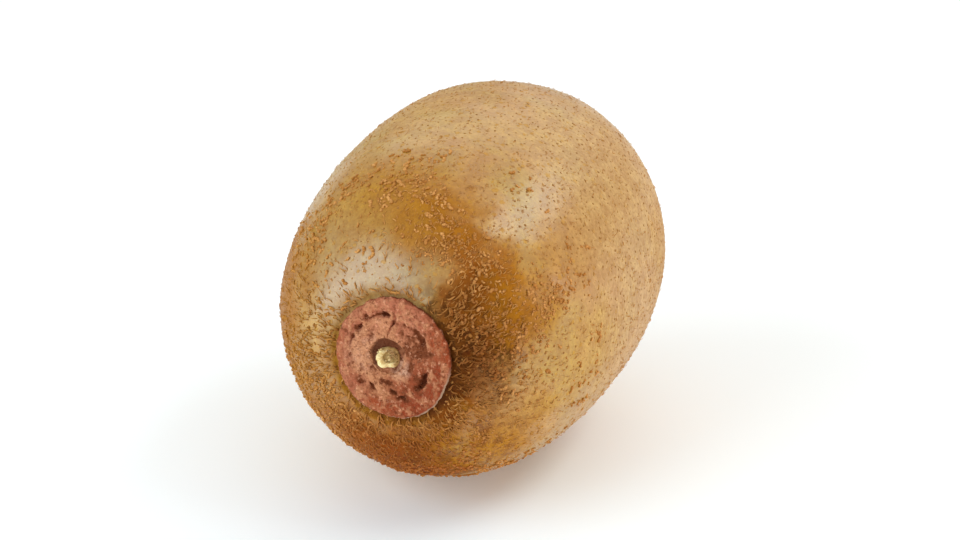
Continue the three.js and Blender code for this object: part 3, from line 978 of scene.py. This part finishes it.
def past_calyx(co):
    """How far a place lies outside the calyx's edge."""
    local = FROM_CALYX @ co
    return math.hypot(local.x, local.y / CALYX_OVAL) - CALYX_RADIUS


def off_calyx(co):
    """0 under the calyx and 1 outside it."""
    return smooth_step(past_calyx(co), -0.2 * MM, 0.2 * MM) if co.y < 0 else 1.0


def off_ground(co):
    """0 on the flat spot and 1 a little above it."""
    return smooth_step(co.z, 0.5 * MM, 1.4 * MM)


def near_stem(co):
    away = (co - CALYX_PLACE).length
    return 1 - smooth_step(away, 10 * MM, 30 * MM)


def near_calyx(co):
    return 1 - smooth_step(past_calyx(co), 1 * MM, 9 * MM) if co.y < 0 else 0.0


# Bare shoulder above the calyx.
WORN_PLACES = in_metres(over_calyx, (((-6, 12, -2), 6, 11), ((4, 10.5, -1.5), 2.5, 6)))
DARK_PLACE = beside_calyx(11, 3, 3)
BALD_PLACES = [beside_calyx(14, 14, 18), beside_calyx(18, 9, -6), beside_calyx(17, 10, -13)]


def unworn(co):
    """Down is rubbed off the shoulder above the calyx, and left as a fringe round its edge."""
    kept = 1.0
    for place, inner, outer in WORN_PLACES:
        kept = min(kept, 0.15 + 0.85 * smooth_step((co - place).length, inner, outer))
    fringe = 1 - smooth_step(past_calyx(co), 0.5 * MM, 1.6 * MM)
    return max(kept, fringe) if co.y < 0 else kept


def flaky(co):
    """Corky flakes gather in loose groups on the shoulder round the calyx."""
    away = (co - CALYX_PLACE).length
    shoulder = smooth_step(away, 9 * MM, 12 * MM) * (1 - smooth_step(away, 23 * MM, 34 * MM))
    group = smooth_step(noise.noise(co * 170 + Vector((3.1, 0.0, 7.4))), -0.3, 0.15)
    for place in BALD_PLACES:
        group *= smooth_step((co - place).length, 5 * MM, 10 * MM)
    left = 1 - 0.7 * smooth_step(-co.x, 12 * MM, 18 * MM)
    group = max(group, 0.55 * (1 - smooth_step((co - DARK_PLACE).length, 6 * MM, 14 * MM)))
    return shoulder * group * left * unworn(co) * off_ground(co)


def crease_shade(co):
    """Painted shade in the groove round the calyx: broken, and darkest at its right."""
    if co.y > 0:
        return 0.0
    local = FROM_CALYX @ co
    side = (local.x - 1.2 * local.y) / local.xy.length
    depth = 0.4 + 0.6 * smooth_step(side, -0.8, 0.9)
    broken = 0.85 + 0.6 * noise.noise(co * 600)
    return min(1.0, depth * broken) * math.exp(-(past_calyx(co) / (0.8 * MM)) ** 2)


def downy(co, least):
    """How much down there is: least far from the stem end, and most close to it."""
    return off_calyx(co) * off_ground(co) * unworn(co) * (least + (1 - least) * near_stem(co))


def dot_size(co):
    """Dots are largest near the stem end, and small where the skin is rubbed and low down."""
    low = 0.65 + 0.35 * smooth_step(co.z, 4 * MM, 20 * MM)
    return (0.7 + 0.45 * near_stem(co)) * (0.4 + 0.6 * unworn(co)) * low


store(skin, "open", lambda co: off_calyx(co) * off_ground(co))
store(skin, "crease_shade", crease_shade)
store(skin, "curl_amount", lambda co: downy(co, 0.2))
store(skin, "down_amount", lambda co: downy(co, 0.15))
store(skin, "flaked", flaky)
store(skin, "dot_size", dot_size)
store(skin, "down_length", lambda co: 0.7 + 0.4 * near_stem(co) + 0.5 * near_calyx(co))

calyx = make_calyx(PLACED)
stub = make_stub(PLACED)
tuft = make_styles(SHIFT)

# The skin's browns and golds, each as (colour, how much it dulls the wax).
# BISTRE, UMBER, SIENNA and some BRONZE patches are partly painted shade; SAND is a painted
# reflection.
BISTRE = (0.06, 0.009, 0.0002), 2.5
BRONZE = (0.34, 0.076, 0.0015), 0.8
UMBER = (0.135, 0.018, 0.0003), 2.5
SIENNA = (0.22, 0.030, 0.0002), 1.5
AMBER = (0.50, 0.20, 0.004), 0.7
HONEY = (0.64, 0.395, 0.168), 0.65
SAND = (0.66, 0.42, 0.18), 0.35
STRAW = (0.42, 0.145, 0.005), 0.8
WHEAT = (0.66, 0.39, 0.085), 0.5
# Its patches: darkest at the calyx's right side and under it, russet and painted shade together,
# golden at the right and far sides, and SAND a painted reflection low at the right.
SKIN_TONES_AND_PAINTED_LIGHT = in_metres(beside_calyx, (
    ((12, 5.5, 7), 4, 8.5, 0.75, BRONZE), ((3, 10, 15), 3, 9, 0.5, BRONZE),
    ((11, 7, 12), 3, 8, 0.35, BRONZE), ((3, 2, -12), 3, 9, 0.75, BRONZE),
    # Painted shade low under the calyx, partly russet.
    ((1, 4, -20), 5, 12, 0.9, SIENNA), ((-9, 4, -14), 3, 11, 0.7, BRONZE),
    ((11, 4, -15), 3, 10, 0.8, AMBER), ((16, 7, -11), 3, 9, 0.6, AMBER),
    # UMBER and BISTRE: russet with painted shade hugging the calyx's right side.
    ((-2, 11, 17), 4, 12, 0.5, AMBER), ((8.5, 1, -1), 4, 9, 0.9, UMBER),
    ((11.5, 2.5, 8), 3, 6.5, 0.4, BISTRE), ((8.5, 1, -0.5), 3.5, 6.8, 0.75, BISTRE),
    # Painted shade beside the calyx, and SAND, a painted reflection low at its right.
    ((12, 3, -6), 2, 6, 0.5, BRONZE), ((15.5, 5, -6), 2, 7, 0.35, SAND),
    ((25, 40, 3), 14, 30, 0.7, HONEY), ((-12, 42, 17), 8, 24, 0.25, HONEY),
    ((-22, 12, 0), 7, 17, 0.95, STRAW), ((24, 50, 1), 4, 13, 0.12, AMBER),
    ((22, 16, -3), 3, 13, 0.5, WHEAT), ((17.5, 8, 7), 3, 8, 0.5, AMBER)))
# Painted highlight: a pale grey tint over the bare shoulder.
HIGHLIGHT_TINT = [(place, inner, outer + HIGHLIGHT_TINT_EDGE, 0.5, (0.40, 0.26, 0.13))
          for place, inner, outer in WORN_PLACES]
SHADE = (9, 1, 2)
# Painted shade, grainy, beside and under the calyx.
SCURF_SHADE = in_metres(beside_calyx, ((SHADE, 5, 12, 0.75, (0.050, 0.013, 0.0015)),
                                  ((8, 4, -14), 6, 14, 0.6, (0.15, 0.030, 0.0015))))
dress(skin, skin_finish(SKIN_TONES_AND_PAINTED_LIGHT, BLOSSOM_PLACE, HIGHLIGHT_TINT, SCURF_SHADE, beside_calyx(13, 16, 19)),
      ["fruit"])
# Cork patches: painted highlight left of the hole, along the top of the rim and at its two left
# corners, painted shade, darker and redder, at its lower right, and torn pale beside the stub.
CORK_TONES_AND_LIGHT = in_metres(over_calyx, (
    ((-4.0, 0.4, -0.4), 1.2, 4.2, 0.75, (0.70, 0.345, 0.20)),
    ((1.0, 7.4, 0.0), 2.0, 7.0, 0.8, (0.52, 0.165, 0.085)),
    ((-6.0, 4.5, 0.0), 1.5, 4.5, 0.5, (0.53, 0.19, 0.10)),
    ((-6.0, -5.0, 0.0), 1.5, 4.0, 0.5, (0.50, 0.17, 0.09)),
    ((5.5, -4.5, 0.0), 3.0, 8.5, 0.8, (0.27, 0.038, 0.010)),
    ((0.9, -1.1, -0.6), 0.8, 2.1, 0.75, (0.74, 0.42, 0.27))))
dress(calyx, cork_finish(CORK_TONES_AND_LIGHT), ["calyx"])
dress(stub, stub_finish(), ["stalk_stub"])
dress(tuft, styles_finish(), ["styles"])

dot = make_grain("dot", (1.15, 0.9, 0.24))
dots = scatter("corky_dots", skin, dot, seed=11, spacing=DOT_SPACING, density=CROWDED,
               amount="open", size=DOT_SIZES, tilt=0.1, grow="dot_size")
bpy.data.objects.remove(dot)
sets = []
for seed, sizes in zip((12, 13), FLAKE_SIZES):
    flake = make_scab("flake", seed)
    store(flake, "lit_top", lambda co: smooth_step(co.z, -0.1, 0.34))
    sets.append(scatter("flakes_%d" % seed, skin, flake, seed=seed, spacing=FLAKE_SPACING,
                        density=CROWDED, amount="flaked", size=sizes, tilt=0.3))
    bpy.data.objects.remove(flake)
flakes = join(sets, "corky_flakes")
# Growths are browner where the skin is, with painted shade beside and under the calyx.
BROWNED_AND_SHADED = in_metres(beside_calyx, ((SHADE, 4, 11, 0.5, (0.24, 0.055, 0.004)),
                                   ((9, 0.5, 0), 2, 6, 0.5, (0.16, 0.034, 0.002)),
                                   ((1, 3, -18), 5, 14, 0.6, (0.34, 0.062, 0.002)),
                                   ((-17, 7, 1), 6, 14, 0.6, (0.46, 0.18, 0.02))))
dress(dots, dot_finish(CALYX_PLACE))
dress(flakes, flake_finish(BROWNED_AND_SHADED, beside_calyx(*SHADE)))

hair = make_thread("hair", 3, lambda t: (0.1 * math.sin(3 * t), 0.9 * t, 0.24 * math.sin(1.9 * t)),
                   [0.04, 0.056, 0.046, 0.018])
curl = make_thread("curl", 4, lambda t: (0.16 * math.sin(4.5 * t + 0.5), t - 0.5,
                                         0.16 * math.sin(math.pi * t) - 0.02),
                   [0.03, 0.08, 0.10, 0.10, 0.08, 0.03])
for name, template, seed, density, amount, size, turn, tilt, light in (
        ("curled_down", curl, 21, CURL_DENSITY, "curl_amount", CURL_SIZES, 1.0, 0.1,
         (0.60, 0.27, 0.07)),
        ("fine_down", hair, 22, DOWN_DENSITY, "down_amount", DOWN_SIZES, 0.6, 0.12,
         (0.58, 0.26, 0.065))):
    down = scatter(name, skin, template, seed, density, amount, size, tilt, turn,
                   comb_from=CALYX_PLACE, grow="down_length")
    dress(down, down_finish(name, (0.36, 0.12, 0.02), light, BROWNED_AND_SHADED))
store(calyx, "felt_amount", lambda co: 1.0 if (FROM_CALYX @ co).z > -0.7 * MM else 0.2)
felt = scatter("calyx_felt", calyx, hair, seed=31, density=FELT_DENSITY, amount="felt_amount",
               size=FELT_SIZES, tilt=0.3)
dress(felt, down_finish("felt", (0.30, 0.09, 0.035), (0.54, 0.22, 0.11)))
bpy.data.objects.remove(hair)
bpy.data.objects.remove(curl)


# ---- Floor, light and camera -----------------------------

def make_floor():
    start_object_mode()
    bpy.ops.mesh.primitive_plane_add(size=6)
    floor = newest("floor")
    material, tree = new_material("pale_floor", (0.9, 0.9, 0.9), 0.7,
                                  emission_color=(1, 1, 1, 1), emission_strength=0.1)
    cloud = use(tree, GRAIN, size=0.3, detail=2.0)['Tone']
    to_shader(tree, 'Base Color', mix(tree, cloud, (0.93, 0.92, 0.91), (0.96, 0.95, 0.94)))
    floor.data.materials.append(material)
    floor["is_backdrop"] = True


def stand(name, data, location):
    """A lamp or camera in the scene."""
    thing = bpy.data.objects.new(name, data)
    bpy.context.scene.collection.objects.link(thing)
    thing.location = location
    return thing


def make_light(name, direction, distance, size, power, along=(0, 0, 1), colour=(1, 1, 1)):
    """A soft window that faces the fruit, its second side lying along a direction."""
    light = bpy.data.lights.new(name, 'AREA')
    light.shape = 'RECTANGLE'
    light.size, light.size_y = size
    light.energy = power
    light.color = colour
    lamp = stand(name, light, MIDDLE + Vector(direction).normalized() * distance)
    back = (lamp.location - MIDDLE).normalized()
    side = Vector(along).cross(back).normalized()
    lamp.rotation_euler = Matrix((side, back.cross(side), back)).transposed().to_euler()


def make_camera(azimuth, elevation, distance, lens):
    camera = bpy.data.cameras.new("camera")
    camera.lens = lens
    camera.sensor_width = 36
    a, e = math.radians(azimuth), math.radians(elevation)
    back = Vector((math.sin(a) * math.cos(e), -math.cos(a) * math.cos(e), math.sin(e)))
    eye = stand("camera", camera, MIDDLE + back * distance)
    eye.rotation_euler = (-back).to_track_quat('-Z', 'Y').to_euler()
    bpy.context.scene.camera = eye


# The middle of the widest section.
MIDDLE = SHIFT
make_floor()
make_camera(azimuth=19.6, elevation=23.5, distance=0.704, lens=185)
make_light("left_window", (-0.605, -0.627, 0.37), 0.55, (0.56, 0.56), 3.1,
           colour=(0.72, 0.90, 1.0))
make_light("right_window", (0.57, 0.34, 0.74), 0.60, (0.22, 0.62), 1.35,
           along=(-0.30, 0.82, -0.49), colour=(0.78, 0.94, 1.0))
make_light("back_sky", (-0.1, 0.88, 0.45), 1.0, (1.2, 0.7), 3.2, colour=(1.0, 0.95, 0.82))
make_light("ceiling", (0.0, 0.1, 1.0), 0.9, (1.3, 1.3), 3.2)
make_light("low_window", (0.88, -0.2, 0.06), 0.7, (0.9, 0.4), 3.3)

world = bpy.data.worlds.new("studio")
world.use_nodes = True
sky = world.node_tree.nodes['Background'].inputs
sky['Color'].default_value = (1, 1, 1, 1)
sky['Strength'].default_value = 0.25
bpy.context.scene.world = world
bpy.context.scene.view_settings.view_transform = 'Standard'

sizes = {"cad": [list(corner) for corner in CAD_BOX],
         "visual": [list(corner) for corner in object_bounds()]}
